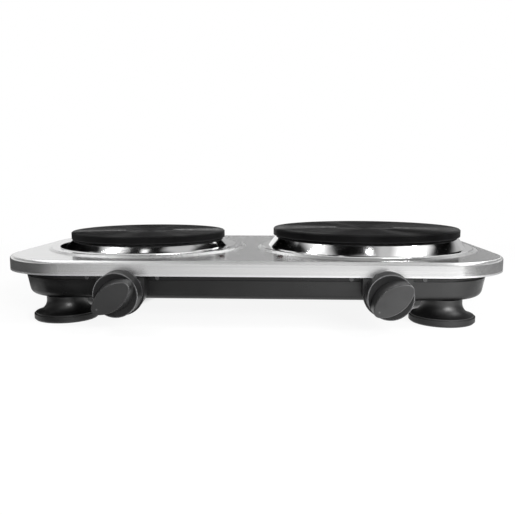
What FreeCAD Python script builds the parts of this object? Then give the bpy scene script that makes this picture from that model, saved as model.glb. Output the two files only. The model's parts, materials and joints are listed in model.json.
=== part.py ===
"""Double electric hot plate, as a parametric document in millimetres.

The frame: X to the right, Y away from the user, Z up. The origin lies on the standing surface,
below the middle of the whole appliance, knobs included.
"""
import FreeCAD, Part
import math
import os
import re
import Sketcher

V = FreeCAD.Vector

# Driving sizes: name, value in millimetres or degrees, what it measures
SIZES = (
    ("cover_width", 454.0, "cover, left to right"),
    ("cover_depth", 238.0, "cover, front to back"),
    ("cover_corner", 64.0, "radius of the cover's corners in plan"),
    ("cover_skirt", 12.9, "height of the cover's skirt"),
    ("cover_edge", 3.0, "radius along the cover's top edge"),
    ("cover_sheet", 0.8, "cover's sheet"),
    ("cover_lip", 2.6, "inward hem under the skirt"),
    ("seat_height", 1.6, "raised round seat above the cover"),
    ("seat_slope", 3.6, "width of the seat's sloping edge"),
    ("large_seat_radius", 108.5, "foot of the large plate's seat"),
    ("small_seat_radius", 99.5, "foot of the small plate's seat"),
    ("foot_height", 21.0, "standing surface to the base"),
    ("base_height", 23.0, "underside of the base to the skirt's lower edge"),
    ("base_side_inset", 14.6, "base wall inside the cover, at the sides"),
    ("base_front_inset", 14.0, "base wall inside the cover, front and back"),
    ("base_corner", 49.0, "radius of the base's corners in plan"),
    ("base_draft", 3.3, "lean of the base wall"),
    ("base_edge", 6.0, "radius along the base's lower edge"),
    ("base_wall", 2.2, "base wall thickness"),
    ("base_floor", 2.5, "base floor thickness"),
    ("shoulder_drop", 5.7, "skirt's lower edge to the shoulder of the base"),
    ("neck_inset", 1.5, "neck behind the shoulder"),
    ("neck_gap", 0.5, "neck below the cover's brackets"),
    ("vent_width", 5.0, "floor vent slot"),
    ("vent_length", 46.0, "floor vent slot, front to back"),
    ("vent_pitch", 13.0, "floor vent slots apart"),
    ("plate_offset", 110.3, "plate centres from the middle"),
    ("large_plate_radius", 92.5, "large plate"),
    ("small_plate_radius", 77.5, "small plate"),
    ("large_ring_height", 11.4, "seat to the large plate's rim"),
    ("small_ring_height", 7.9, "seat to the small plate's rim"),
    ("plate_rim", 6.8, "height of a plate's rim"),
    ("plate_edge", 1.0, "chamfer on a plate's upper edge"),
    ("plate_body", 8.0, "iron above the heater"),
    ("plate_reach", 1.5, "plate skirt below the seat"),
    ("plate_shoulder", 10.0, "rim outside the plate's skirt"),
    ("plate_skirt", 6.0, "wall of the plate's skirt"),
    ("large_recess_radius", 28.0, "middle recess of the large plate"),
    ("small_recess_radius", 23.0, "middle recess of the small plate"),
    ("recess_depth", 1.2, "depth of the middle recess"),
    ("recess_slope", 2.0, "sloping edge of the middle recess"),
    ("hub_radius", 14.0, "iron hub round the stud"),
    ("opening_inset", 6.5, "cover opening inside the plate's rim"),
    ("ring_sheet", 0.7, "trim ring's sheet"),
    ("ring_brim", 11.0, "trim ring's brim outside the plate"),
    ("ring_foot", 5.0, "foot of the ring's cone outside the plate"),
    ("ring_tuck", 3.0, "top of the ring's cone inside the plate"),
    ("ring_flange", 9.2, "ring's inner edge inside the plate"),
    ("ring_collar", 4.0, "down-turned collar inside the ring"),
    ("pack_gap", 0.4, "heater to iron, all round"),
    ("plate_cover_sheet", 0.8, "sheet under the heater"),
    ("plate_cover_inset", 1.0, "sheet's edge inside the plate's skirt"),
    ("strap_thick", 2.0, "clamp strap's sheet"),
    ("strap_width", 24.0, "clamp strap"),
    ("strap_drop", 10.7, "middle of the strap below the seat"),
    ("strap_bend", 24.0, "strap's slope, across"),
    ("strap_land", 10.0, "strap's end under the cover"),
    ("stud_radius", 4.0, "stud in the plate's hub"),
    ("stud_grip", 7.5, "stud inside the hub"),
    ("stud_tail", 3.0, "stud below its nut"),
    ("thread_gap", 0.05, "screw to its threaded hole"),
    ("hole_gap", 0.3, "screw to its clearance hole"),
    ("nut_across", 13.0, "clamp nut across its flats"),
    ("nut_height", 6.5, "clamp nut"),
    ("washer_radius", 8.0, "clamp washer"),
    ("washer_thick", 1.6, "clamp washer"),
    ("block_setback", 45.0, "plate terminal inside the plate's edge"),
    ("ceramic_width", 28.0, "plate terminal"),
    ("ceramic_depth", 12.0, "plate terminal"),
    ("ceramic_height", 8.0, "plate terminal"),
    ("pin_radius", 1.2, "plate terminal's pins"),
    ("pin_spread", 8.0, "pins from the terminal's middle"),
    ("pin_tail", 3.7, "pin below the ceramic"),
    ("knob_inset", 114.5, "knob axes inside the cover's sides"),
    ("knob_shift", 3.3, "both knob axes, to the right"),
    ("knob_rise", 9.4, "knob axis above the underside of the base"),
    ("knob_gap", 1.0, "knob to the cover's skirt"),
    ("knob_radius", 19.2, "knob at its back"),
    ("knob_front_radius", 18.8, "knob at its front rim"),
    ("knob_depth", 15.0, "knob without its grip"),
    ("knob_wall", 2.2, "knob's wall"),
    ("knob_dish", 1.6, "dished front round the grip"),
    ("grip_height", 14.0, "grip in front of the rim"),
    ("grip_half_width", 10.0, "grip's face, half its width"),
    ("grip_foot_half_width", 13.0, "grip's foot, half its width"),
    ("grip_edge", 1.0, "radius round the grip's face"),
    ("grip_tip", 5.2, "radius at the two ends of the grip's face"),
    ("grip_foot_tip", 7.5, "radius at the two ends of the grip's foot"),
    ("grip_inset", 0.1, "grip's ends inside the rim"),
    ("grip_angle", 38.0, "grip's turn from level"),
    ("boss_half_width", 20.6, "control boss, half its width"),
    ("boss_round", 20.4, "radius under the control boss"),
    ("boss_setback", 0.5, "boss front behind the cover's front"),
    ("boss_gap", 1.0, "boss below the cover's skirt"),
    ("boss_wall", 2.5, "front wall of the boss"),
    ("boss_depth", 47.0, "boss, front to where it meets the floor"),
    ("boss_tail_round", 12.0, "radius where the boss meets the floor"),
    ("spindle_radius", 3.0, "thermostat spindle"),
    ("spindle_gap", 0.05, "spindle to its bore"),
    ("spindle_hub", 6.0, "knob hub round the spindle"),
    ("spindle_grip", 9.5, "spindle inside the hub"),
    ("spindle_flat", 1.8, "flat on the spindle, from its axis"),
    ("clip_thick", 0.8, "spring clip on the flat"),
    ("clip_width", 2.6, "spring clip"),
    ("bush_radius", 4.6, "thermostat's bush"),
    ("thermostat_width", 28.0, "thermostat body"),
    ("thermostat_depth", 20.0, "thermostat body"),
    ("thermostat_above", 9.2, "thermostat body above the axis"),
    ("thermostat_below", 7.0, "thermostat body below the axis"),
    ("socket_depth", 9.0, "spindle inside the thermostat body"),
    ("panel_screw_spread", 11.0, "thermostat screws from the axis"),
    ("panel_screw_radius", 1.5, "thermostat screw"),
    ("panel_screw_length", 9.0, "thermostat screw"),
    ("panel_head_radius", 2.6, "thermostat screw's head"),
    ("panel_head_height", 1.6, "thermostat screw's head"),
    ("tab_width", 6.3, "thermostat's blade tabs"),
    ("tab_thick", 0.8, "thermostat's blade tabs"),
    ("tab_length", 7.0, "thermostat's blade tabs"),
    ("tab_spread", 8.0, "tabs from the thermostat's middle"),
    ("foot_side_inset", 57.5, "middle of a foot inside the cover's side"),
    ("foot_front_inset", 37.0, "middle of a foot inside the cover's front or back"),
    ("foot_neck_radius", 17.3, "foot at its neck"),
    ("foot_flare_radius", 27.2, "foot at its lower edge"),
    ("foot_flare", 10.5, "radius of the foot's flare"),
    ("foot_lip", 1.2, "upright edge under the flare"),
    ("pad_radius", 28.5, "rubber pad"),
    ("pad_height", 5.5, "rubber pad"),
    ("pad_hollow_radius", 20.0, "hollow under the pad"),
    ("pad_hollow", 2.5, "depth of the hollow"),
    ("foot_screw_radius", 2.0, "foot screw"),
    ("foot_head_radius", 4.0, "foot screw's head"),
    ("foot_head_height", 2.6, "foot screw's head"),
    ("foot_floor", 12.5, "plastic between the screw head and the base"),
    ("post_radius", 6.0, "screw post in the base"),
    ("post_height", 10.0, "screw post above the floor"),
    ("side_screw_spread", 31.0, "cover screws from the middle of their pair"),
    ("side_screw_out", 2.2, "middle of each pair, outside the knob's axis"),
    ("side_screw_rise", 2.1, "cover screws above the shoulder"),
    ("side_screw_radius", 1.25, "cover screw"),
    ("side_screw_length", 6.5, "cover screw"),
    ("side_head_radius", 1.9, "cover screw's head"),
    ("side_head_height", 1.1, "cover screw's head"),
    ("bracket_sheet", 1.5, "cover bracket's sheet"),
    ("bracket_width", 14.0, "cover bracket"),
    ("bracket_reach", 12.0, "cover bracket under the cover"),
    ("bracket_foot", 0.7, "cover bracket above the shoulder"),
    ("shield_width", 300.0, "heat shield"),
    ("shield_front_inset", 59.0, "heat shield inside the cover's front edge"),
    ("shield_back_inset", 34.0, "heat shield inside the cover's back edge"),
    ("shield_corner", 12.0, "heat shield's corners"),
    ("shield_sheet", 0.8, "heat shield's sheet"),
    ("shield_rise", 3.0, "heat shield above the floor"),
    ("shield_screw_inset", 10.0, "shield screws from its edges"),
    ("shield_post_radius", 4.5, "posts under the shield"),
    ("shield_screw_radius", 1.4, "shield screw"),
    ("shield_head_radius", 2.8, "shield screw's head"),
    ("shield_head_height", 1.6, "shield screw's head"),
    ("block_width", 38.0, "mains terminal block"),
    ("block_depth", 18.0, "mains terminal block"),
    ("block_height", 13.0, "mains terminal block"),
    ("block_inset", 40.0, "terminal block inside the cover's back edge"),
    ("pole_pitch", 12.0, "terminal block's poles"),
    ("pole_slot", 2.0, "gap between the poles"),
    ("pole_screw_radius", 2.0, "terminal screw"),
    ("pole_screw_height", 2.0, "terminal screw above the block"),
    ("gland_bore", 3.9, "radius of the cord's way through the gland"),
    ("gland_barrel", 6.4, "gland in the wall"),
    ("gland_flange", 8.6, "gland's outer flange"),
    ("gland_flange_thick", 2.4, "gland's outer flange"),
    ("gland_lip", 7.2, "gland's inner lip"),
    ("gland_lip_thick", 1.6, "gland's inner lip"),
    ("gland_rise", 12.0, "gland above the underside of the base"),
    ("gland_pad", 10.0, "flat round pad behind the gland"),
    ("gland_pad_out", 1.6, "pad beyond the base wall"),
    ("gland_pad_in", 8.6, "pad inside the base wall"),
    ("lead_radius", 1.2, "insulated lead"),
    ("lead_bend", 6.0, "leads' bends"),
    ("lead_split", 1.6, "two leads of one pole, from its middle"),
    ("lead_rise", 5.2, "leads above the heat shield"),
    ("lead_lift", 3.6, "one lead passing over another"),
    ("lead_turn_inset", 69.0, "where the live leads part, behind the cover's front edge"),
    ("lead_run_inset", 55.0, "where they turn to the thermostats, behind that edge"),
    ("earth_offset", 38.0, "earth tag from the middle"),
    ("earth_reach", 45.0, "earth tag behind the middle"),
    ("earth_tag_width", 8.0, "earth tag"),
    ("earth_tag_sheet", 1.0, "earth tag"),
    ("earth_tag_foot", 9.0, "earth tag's foot"),
    ("lamp_offset", 26.0, "pilot lamps from the middle"),
    ("lamp_inset", 33.0, "pilot lamps behind the cover's front edge"),
    ("lamp_radius", 2.3, "pilot lamp's lens"),
    ("lamp_rise", 1.3, "pilot lamp above the cover"),
    ("lamp_dome", 1.0, "radius round the pilot lamp's lens"),
    ("lamp_body_radius", 1.9, "pilot lamp under the cover"),
    ("lamp_body", 9.0, "pilot lamp under the cover, length"),
    ("lamp_lead_inset", 22.0, "lamp leads behind the cover's front edge"),
    ("lamp_lead_rise", 4.7, "lamp leads above the knob axis"),
)

# Heights and places that several pieces share
COVER_Y = "(knob_gap + knob_depth + grip_height) / 2"
SKIRT_FOOT = "foot_height + base_height"
COVER_TOP = SKIRT_FOOT + " + cover_skirt"
SEAT_TOP = COVER_TOP + " + seat_height"
SHOULDER = "base_height - shoulder_drop"
FLOOR_TOP = "foot_height + base_floor"
SHIELD_TOP = FLOOR_TOP + " + shield_rise + shield_sheet"
LEAD_LEVEL = SHIELD_TOP + " + lead_rise"
KNOB_AXIS = "foot_height + knob_rise"
LAMP_LEAD_LEVEL = KNOB_AXIS + " + lamp_lead_rise"
FRONT = COVER_Y + " - cover_depth / 2"
BOSS_BACK_FACE = FRONT + " + boss_setback + boss_wall"
NECK_FACE = "cover_depth / 2 - base_front_inset - neck_inset"
PIN_FOOT = SEAT_TOP + " - plate_reach - plate_cover_sheet - ceramic_height - pin_tail"
FOOT_X = "cover_width / 2 - foot_side_inset"
FOOT_Y = "cover_depth / 2 - foot_front_inset"
LAMP_FRONT = "cover_depth / 2 - lamp_inset"
SHIELD_FRONT = "cover_depth / 2 - shield_front_inset"
SHIELD_BACK = "cover_depth / 2 - shield_back_inset"
BLOCK_BACK = "cover_depth / 2 - block_inset"
BLOCK_FRONT = BLOCK_BACK + " - block_depth"
VENT_COUNT = 9
SIDES = (("left", -1), ("right", 1))
PLATES = (("small", -1), ("large", 1))

doc = FreeCAD.newDocument("double_hot_plate")
sheet = doc.addObject("Spreadsheet::Sheet", "Sizes")
for row, (alias, number, note) in enumerate(SIZES, start=1):
    sheet.set(f"A{row}", note)
    sheet.set(f"B{row}", str(number))
    sheet.setAlias(f"B{row}", alias)
doc.recompute()
subparts = []


# Expressions over the sheet

def bound(text):
    """The expression with each size led by the sheet's name."""
    return re.sub(r"[a-z]+(?:_[a-z]+)+", lambda found: "Sizes." + found.group(), text)


def value(text):
    """What an expression gives with the sheet's present sizes."""
    return float(sheet.evalExpression(bound(text)))


def bind(item, prop, text):
    item.setExpression(prop, bound(text))


def place(item, x="0", y=COVER_Y, z="0", turn=None):
    """Place an object by size expressions; turn is a fixed rotation."""
    if turn:
        item.Placement = FreeCAD.Placement(V(0, 0, 0), turn)
    for axis, text in zip("xyz", (x, y, z)):
        bind(item, "Placement.Base." + axis, text)


def signed(side, text):
    """A place mirrored to the left (-1) or kept on the right (1)."""
    return f"{side} * ({text})"


def knob_x(side, outward="0"):
    """X of a knob's axis, or of a place further out from the middle."""
    return f"knob_shift + {side} * (cover_width / 2 - knob_inset + ({outward}))"


# Sketches

def new_body(name, x="0", y=COVER_Y, z="0"):
    body = doc.addObject("PartDesign::Body", name)
    body.Label = name
    place(body, x, y, z)
    subparts.append(body)
    return body


def new_sketch(body, plane, offset="0"):
    """Sketch on one of the body's origin planes, moved along its normal."""
    sketch = body.newObject("Sketcher::SketchObject", "Sketch")
    support = next(item for item in body.Origin.OriginFeatures if item.Role == plane)
    sketch.AttachmentSupport = [(support, "")]
    sketch.MapMode = "FlatFace"
    bind(sketch, "AttachmentOffset.Base.z", offset)
    return sketch


def constrain(sketch, kind, *ends, size=None):
    """Add a constraint, driven by an expression where a size is given."""
    numbers = ends if size is None else ends + (value(size),)
    index = sketch.addConstraint(Sketcher.Constraint(kind, *numbers))
    if size is not None:
        bind(sketch, f"Constraints[{index}]", size)


def pin(sketch, item, point, x, y):
    """Hold a point at x, y from the sketch's origin."""
    for kind, axis, text in (("DistanceX", -2, x), ("DistanceY", -1, y)):
        if text == "0":
            constrain(sketch, "PointOnObject", item, point, axis)
        else:
            constrain(sketch, kind, -1, 1, item, point, size=text)


def round_corner(sketch, before, after, spot, ends, corner):
    """Tangent arc between two sides, with the sharp corner kept as a construction point."""
    x, y, radius = corner
    into, out = spot - ends[0], ends[1] - spot
    turns_left = into.x * out.y - into.y * out.x > 0
    side = V(-into.y, into.x, 0) if turns_left else V(into.y, -into.x, 0)
    centre = ends[0] + side.normalize() * value(radius)
    rim = [math.atan2(end.y - centre.y, end.x - centre.x) for end in ends]
    first, last = rim if turns_left else rim[::-1]
    ring = Part.Circle(centre, V(0, 0, 1), value(radius))
    arc = sketch.addGeometry(Part.ArcOfCircle(ring, first, last))
    start, stop = (1, 2) if turns_left else (2, 1)
    constrain(sketch, "Tangent", before, 2, arc, start)
    constrain(sketch, "Tangent", arc, stop, after, 1)
    constrain(sketch, "Radius", arc, size=radius)
    mark = sketch.addGeometry(Part.Point(spot), True)
    pin(sketch, mark, 1, x, y)
    constrain(sketch, "PointOnObject", mark, 1, before)
    constrain(sketch, "PointOnObject", mark, 1, after)


def outline(sketch, corners):
    """Closed outline of straight sides through corners (x, y) or rounded corners (x, y, radius)."""
    spots = [V(value(corner[0]), value(corner[1]), 0) for corner in corners]
    count = len(corners)
    ends = []
    for index, corner in enumerate(corners):
        spot = spots[index]
        back = (spots[index - 1] - spot).normalize()
        ahead = (spots[(index + 1) % count] - spot).normalize()
        trim = value(corner[2]) / math.tan(back.getAngle(ahead) / 2) if len(corner) > 2 else 0
        ends.append((spot + back * trim, spot + ahead * trim))
    sides = []
    for index in range(count):
        side = Part.LineSegment(ends[index][1], ends[(index + 1) % count][0])
        sides.append(sketch.addGeometry(side))
    for index, corner in enumerate(corners):
        before, after = sides[index - 1], sides[index]
        if len(corner) > 2:
            round_corner(sketch, before, after, spots[index], ends[index], corner)
        else:
            constrain(sketch, "Coincident", before, 2, after, 1)
            pin(sketch, after, 1, corner[0], corner[1])


def rectangle(sketch, half_x, half_y, radius):
    """Rounded rectangle about the sketch's origin."""
    outline(sketch, [
        (f"-({half_x})", f"-({half_y})", radius),
        (half_x, f"-({half_y})", radius),
        (half_x, half_y, radius),
        (f"-({half_x})", half_y, radius),
    ])


def box(sketch, left, right, low, high):
    """Plain rectangle between four lines."""
    outline(sketch, [(left, low), (right, low), (right, high), (left, high)])


def circle(sketch, x, y, radius):
    ring = sketch.addGeometry(Part.Circle(V(value(x), value(y), 0), V(0, 0, 1), value(radius)))
    pin(sketch, ring, 3, x, y)
    constrain(sketch, "Radius", ring, size=radius)


# Features

def revolve(body, corners, plane="XZ_Plane"):
    """Turn an outline about the sketch's vertical axis."""
    sketch = new_sketch(body, plane)
    outline(sketch, corners)
    feature = body.newObject("PartDesign::Revolution", "Revolution")
    feature.Profile = sketch
    feature.ReferenceAxis = (sketch, ["V_Axis"])
    feature.Angle = 360
    doc.recompute()
    return feature


def pad(body, sketch, length, reverse=False, both_ways=False):
    feature = body.newObject("PartDesign::Pad", "Pad")
    feature.Profile = sketch
    feature.Reversed = reverse
    if both_ways:
        feature.SideType = "Symmetric"
    bind(feature, "Length", length)
    doc.recompute()
    return feature


def pocket(body, sketch, length=None, reverse=False, both_ways=False):
    """Cut a sketch into the body, right through where no length is given."""
    before = body.Shape.Volume
    feature = body.newObject("PartDesign::Pocket", "Pocket")
    feature.Profile = sketch
    feature.Reversed = reverse
    if both_ways:
        feature.SideType = "Symmetric"
    if length is None:
        feature.Type = "ThroughAll"
    else:
        bind(feature, "Length", length)
    doc.recompute()
    if body.Shape.Volume >= before:
        raise RuntimeError(f"{body.Label}: a pocket cuts nothing")
    return feature


def loft(body, kind, first, second):
    feature = body.newObject("PartDesign::" + kind, kind)
    feature.Profile = first
    feature.Sections = [second]
    feature.Ruled = True
    doc.recompute()
    return feature


def fillet(body, feature, radius, picks):
    """Round the edges that picks(edge) chooses."""
    names = []
    for index, edge in enumerate(feature.Shape.Edges, start=1):
        if picks(edge):
            names.append(f"Edge{index}")
    rounding = body.newObject("PartDesign::Fillet", "Fillet")
    rounding.Base = (feature, names)
    bind(rounding, "Radius", radius)
    doc.recompute()
    return rounding


def level_edge(height):
    """Choice of the edges that lie flat at one height."""
    def picks(edge):
        return abs(edge.BoundBox.ZMin - height) < 1e-4 and abs(edge.BoundBox.ZMax - height) < 1e-4
    return picks


# Plain pieces and groups

def cylinder(name, radius, height):
    item = doc.addObject("Part::Cylinder", name)
    bind(item, "Radius", radius)
    bind(item, "Height", height)
    return item


def screw(name, head_radius, head_height, radius, length):
    """Screw along its own Z: the shank goes up from zero, the head lies below."""
    head = cylinder(name + "_head", head_radius, head_height)
    bind(head, "Placement.Base.z", f"-({head_height})")
    fused = doc.addObject("Part::Fuse", name)
    fused.Base = head
    fused.Tool = cylinder(name + "_shank", radius, length)
    return fused


def group(name, items):
    """Several equal solids that share one name."""
    compound = doc.addObject("Part::Compound", name)
    compound.Label = name
    compound.Links = items
    subparts.append(compound)
    return compound


TOWARD_BACK = FreeCAD.Rotation(V(1, 0, 0), -90)
TOWARD_FRONT = FreeCAD.Rotation(V(1, 0, 0), 90)
DOWNWARD = FreeCAD.Rotation(V(1, 0, 0), 180)


# Housing

def seat_cone(body, kind, side, sink):
    """Raised seat round a plate (sink 0), or the hollow under it (sink 1)."""
    what = "SubtractiveCone" if sink else "AdditiveCone"
    cone = body.newObject("PartDesign::" + what, what)
    drop = f" - {sink} * cover_sheet"
    bind(cone, "Radius1", f"{kind}_seat_radius{drop}")
    bind(cone, "Radius2", f"{kind}_seat_radius - seat_slope{drop}")
    bind(cone, "Height", "seat_height")
    bind(cone, "Placement.Base.x", signed(side, "plate_offset"))
    bind(cone, "Placement.Base.z", "cover_skirt" + drop)
    doc.recompute()


def make_top_cover():
    body = new_body("top_cover", z=SKIRT_FOOT)
    plan = new_sketch(body, "XY_Plane")
    rectangle(plan, "cover_width / 2", "cover_depth / 2", "cover_corner")
    pad(body, plan, "cover_skirt")
    hollow = new_sketch(body, "XY_Plane")
    rectangle(hollow, "cover_width / 2 - cover_sheet", "cover_depth / 2 - cover_sheet",
              "cover_corner - cover_sheet")
    room = pocket(body, hollow, "cover_skirt - cover_sheet", reverse=True)
    bend = fillet(body, room, "cover_edge - cover_sheet", level_edge(value("cover_skirt - cover_sheet")))
    fillet(body, bend, "cover_edge", level_edge(value("cover_skirt")))
    for kind, side in PLATES:
        seat_cone(body, kind, side, 0)
    for kind, side in PLATES:
        seat_cone(body, kind, side, 1)
    hem = new_sketch(body, "XY_Plane")
    rectangle(hem, "cover_width / 2", "cover_depth / 2", "cover_corner")
    rectangle(hem, "cover_width / 2 - cover_lip", "cover_depth / 2 - cover_lip", "cover_corner - cover_lip")
    pad(body, hem, "cover_sheet")
    openings = new_sketch(body, "XY_Plane")
    for kind, side in PLATES:
        circle(openings, signed(side, "plate_offset"), "0", f"{kind}_plate_radius - opening_inset")
    for name, side in SIDES:
        circle(openings, signed(side, "lamp_offset"), f"-({LAMP_FRONT})", "lamp_body_radius + hole_gap")
    pocket(body, openings, reverse=True)


def base_half(inset):
    """Half sizes and corner radius of the base's plan, inset from the shoulder."""
    return (
        f"cover_width / 2 - base_side_inset - ({inset})",
        f"cover_depth / 2 - base_front_inset - ({inset})",
        f"base_corner - ({inset})",
    )


def boss_outline(body, side, setback, inset, foot, corner):
    """Upright U of a control boss in a plane that stands back from the cover's front."""
    sketch = new_sketch(body, "XZ_Plane", f"cover_depth / 2 - boss_setback - ({setback})")
    left = f"{knob_x(side)} - boss_half_width + ({inset})"
    right = f"{knob_x(side)} + boss_half_width - ({inset})"
    top = f"base_height - boss_gap - ({inset})"
    outline(sketch, [(left, top), (left, foot, corner), (right, foot, corner), (right, top)])
    return sketch


def base_shell(body):
    """Leaning walls with a rounded lower edge, the neck and the bosses, hollowed from above."""
    foot_plan = new_sketch(body, "XY_Plane")
    rectangle(foot_plan, *base_half("base_draft"))
    shoulder_plan = new_sketch(body, "XY_Plane", SHOULDER)
    rectangle(shoulder_plan, *base_half("0"))
    wall = loft(body, "AdditiveLoft", foot_plan, shoulder_plan)
    fillet(body, wall, "base_edge", level_edge(0))
    neck = new_sketch(body, "XY_Plane", SHOULDER)
    rectangle(neck, *base_half("neck_inset"))
    pad(body, neck, "shoulder_drop + cover_skirt - cover_sheet - bracket_sheet - neck_gap")
    for name, side in SIDES:
        face = boss_outline(body, side, "0", "0", "knob_rise - boss_half_width", "boss_round")
        tail = boss_outline(body, side, "boss_depth", "0", "base_floor / 2", "boss_tail_round")
        loft(body, "AdditiveLoft", face, tail)
    floor_plan = new_sketch(body, "XY_Plane", "base_floor")
    rectangle(floor_plan, *base_half("base_draft + base_wall + base_edge / 2"))
    room_plan = new_sketch(body, "XY_Plane", SHOULDER)
    rectangle(room_plan, *base_half("neck_inset + base_wall"))
    loft(body, "SubtractiveLoft", floor_plan, room_plan)
    throat = new_sketch(body, "XY_Plane", SHOULDER)
    rectangle(throat, *base_half("neck_inset + base_wall"))
    pocket(body, throat, reverse=True)
    for name, side in SIDES:
        face = boss_outline(body, side, "boss_wall", "base_wall",
                            "knob_rise - boss_half_width + base_wall", "boss_round - base_wall")
        tail = boss_outline(body, side, "boss_depth", "base_wall", "base_floor + base_wall / 4",
                            "boss_tail_round - base_wall")
        loft(body, "SubtractiveLoft", face, tail)


def base_posts(body):
    """Posts on the floor for the foot screws and the heat shield."""
    posts = new_sketch(body, "XY_Plane", "base_floor / 2")
    for x in (-1, 1):
        for y in (-1, 1):
            circle(posts, signed(x, FOOT_X), signed(y, FOOT_Y), "post_radius")
    pad(body, posts, "base_floor / 2 + post_height")
    rests = new_sketch(body, "XY_Plane", "base_floor / 2")
    for x, y in shield_screw_places():
        circle(rests, x, y, "shield_post_radius")
    pad(body, rests, "base_floor / 2 + shield_rise")
    bores = new_sketch(body, "XY_Plane")
    for x in (-1, 1):
        for y in (-1, 1):
            circle(bores, signed(x, FOOT_X), signed(y, FOOT_Y),
                   "foot_screw_radius + thread_gap")
    pocket(body, bores, reverse=True)
    taps = new_sketch(body, "XY_Plane", "base_floor / 2")
    for x, y in shield_screw_places():
        circle(taps, x, y, "shield_screw_radius + thread_gap")
    pocket(body, taps, reverse=True)


def base_openings(body):
    """Vents in the floor, and holes for spindles, screws and the cord gland."""
    vents = new_sketch(body, "XY_Plane")
    first = f"-{VENT_COUNT - 1} / 2 * vent_pitch"
    box(vents, f"{first} - vent_width / 2", f"{first} + vent_width / 2",
        "-vent_length / 2", "vent_length / 2")
    slot = pocket(body, vents, "base_floor", reverse=True)
    row = body.newObject("PartDesign::LinearPattern", "VentRow")
    row.Originals = [slot]
    row.Direction = (vents, ["H_Axis"])
    row.Occurrences = VENT_COUNT
    bind(row, "Length", f"{VENT_COUNT - 1} * vent_pitch")
    body.Tip = row
    doc.recompute()
    panel = new_sketch(body, "XZ_Plane", "cover_depth / 2 - boss_setback")
    for name, side in SIDES:
        middle = knob_x(side)
        circle(panel, middle, "knob_rise", "bush_radius + hole_gap")
        for way in ("-", "+"):
            spot = f"{middle} {way} panel_screw_spread"
            circle(panel, spot, "knob_rise", "panel_screw_radius + hole_gap")
    pocket(body, panel, "boss_wall")
    rows = new_sketch(body, "XZ_Plane")
    for x in side_screw_places():
        circle(rows, x, SHOULDER + " + side_screw_rise", "side_screw_radius + hole_gap")
    pocket(body, rows, "cover_depth", both_ways=True)


def base_gland_seat(body):
    """Flat round pad on the back wall, bored for the cord gland."""
    back = "cover_depth / 2 - base_front_inset"
    seat = new_sketch(body, "XZ_Plane", f"-({back} + gland_pad_out)")
    circle(seat, "0", "gland_rise", "gland_pad")
    pad(body, seat, "gland_pad_out + gland_pad_in")
    bore = new_sketch(body, "XZ_Plane", f"-({back} + gland_pad_out)")
    circle(bore, "0", "gland_rise", "gland_barrel + thread_gap")
    pocket(body, bore, "gland_pad_out + gland_pad_in", reverse=True)


def make_base_pan():
    body = new_body("base_pan", z="foot_height")
    base_shell(body)
    base_posts(body)
    base_openings(body)
    base_gland_seat(body)


def side_screw_places():
    """X of the cover screws, two beside each knob."""
    places = []
    for name, side in SIDES:
        for way in ("-", "+"):
            places.append(f"{knob_x(side, 'side_screw_out')} {way} side_screw_spread")
    return places


def make_cover_fixings():
    """Angles under the cover's edge and the screws that pull the base's neck to them."""
    body = new_body("cover_brackets", z="foot_height + " + SHOULDER)
    body.AllowCompound = True
    top = "cover_skirt + shoulder_drop - cover_sheet"
    inner = NECK_FACE + " - base_wall"
    screws = []
    for index, x in enumerate(side_screw_places()):
        for way in (-1, 1):
            profile = new_sketch(body, "YZ_Plane", x)
            outline(profile, [
                (signed(way, inner), "bracket_foot"),
                (signed(way, inner), top + " - bracket_sheet"),
                (signed(way, inner + " + bracket_reach - bracket_sheet"), top + " - bracket_sheet"),
                (signed(way, inner + " + bracket_reach - bracket_sheet"), top),
                (signed(way, inner + " - bracket_sheet"), top),
                (signed(way, inner + " - bracket_sheet"), "bracket_foot"),
            ])
            pad(body, profile, "bracket_width", both_ways=True)
            name = f"cover_screw_{index}_{'front' if way < 0 else 'back'}"
            item = screw(name, "side_head_radius", "side_head_height", "side_screw_radius",
                         "side_screw_length")
            place(item, x, f"{COVER_Y} + {signed(way, NECK_FACE)}",
                  f"foot_height + {SHOULDER} + side_screw_rise", TOWARD_BACK if way < 0 else TOWARD_FRONT)
            screws.append(item)
    taps = new_sketch(body, "XZ_Plane")
    for x in side_screw_places():
        circle(taps, x, "side_screw_rise", "side_screw_radius + thread_gap")
    pocket(body, taps, "cover_depth", both_ways=True)
    group("cover_screws", screws)


# Feet

def make_foot(name, x, y):
    """Trumpet-flared foot over a hollow rubber pad, with its screw going up into the base."""
    where_x = signed(x, FOOT_X)
    where_y = f"{COVER_Y} + {signed(y, FOOT_Y)}"
    foot = new_body(name + "_foot", where_x, where_y, "pad_height")
    height = "foot_height - pad_height"
    bore = "foot_screw_radius + hole_gap"
    well = "foot_head_radius + hole_gap"
    revolve(foot, [
        (bore, height),
        (bore, f"{height} - foot_floor"),
        (well, f"{height} - foot_floor"),
        (well, "0"),
        ("foot_flare_radius", "0"),
        ("foot_flare_radius", "foot_lip"),
        ("foot_neck_radius", "foot_lip + pad_height / 2", "foot_flare"),
        ("foot_neck_radius", height),
    ])
    rubber = new_body(name + "_foot_pad", where_x, where_y)
    revolve(rubber, [
        (well, "pad_hollow"),
        ("pad_hollow_radius", "pad_hollow"),
        ("pad_hollow_radius", "0"),
        ("pad_radius - pad_height / 4", "0"),
        ("pad_radius", "pad_height / 4"),
        ("pad_radius", "pad_height"),
        (well, "pad_height"),
    ])
    item = screw(name + "_foot_screw", "foot_head_radius", "foot_head_height", "foot_screw_radius",
                 "foot_floor + base_floor + post_height")
    place(item, where_x, where_y, "foot_height - foot_floor")
    return item


def make_feet():
    screws = []
    for row, y in (("front", -1), ("rear", 1)):
        for name, x in SIDES:
            screws.append(make_foot(f"{row}_{name}", x, y))
    group("foot_screws", screws)


# Hot plates

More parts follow.
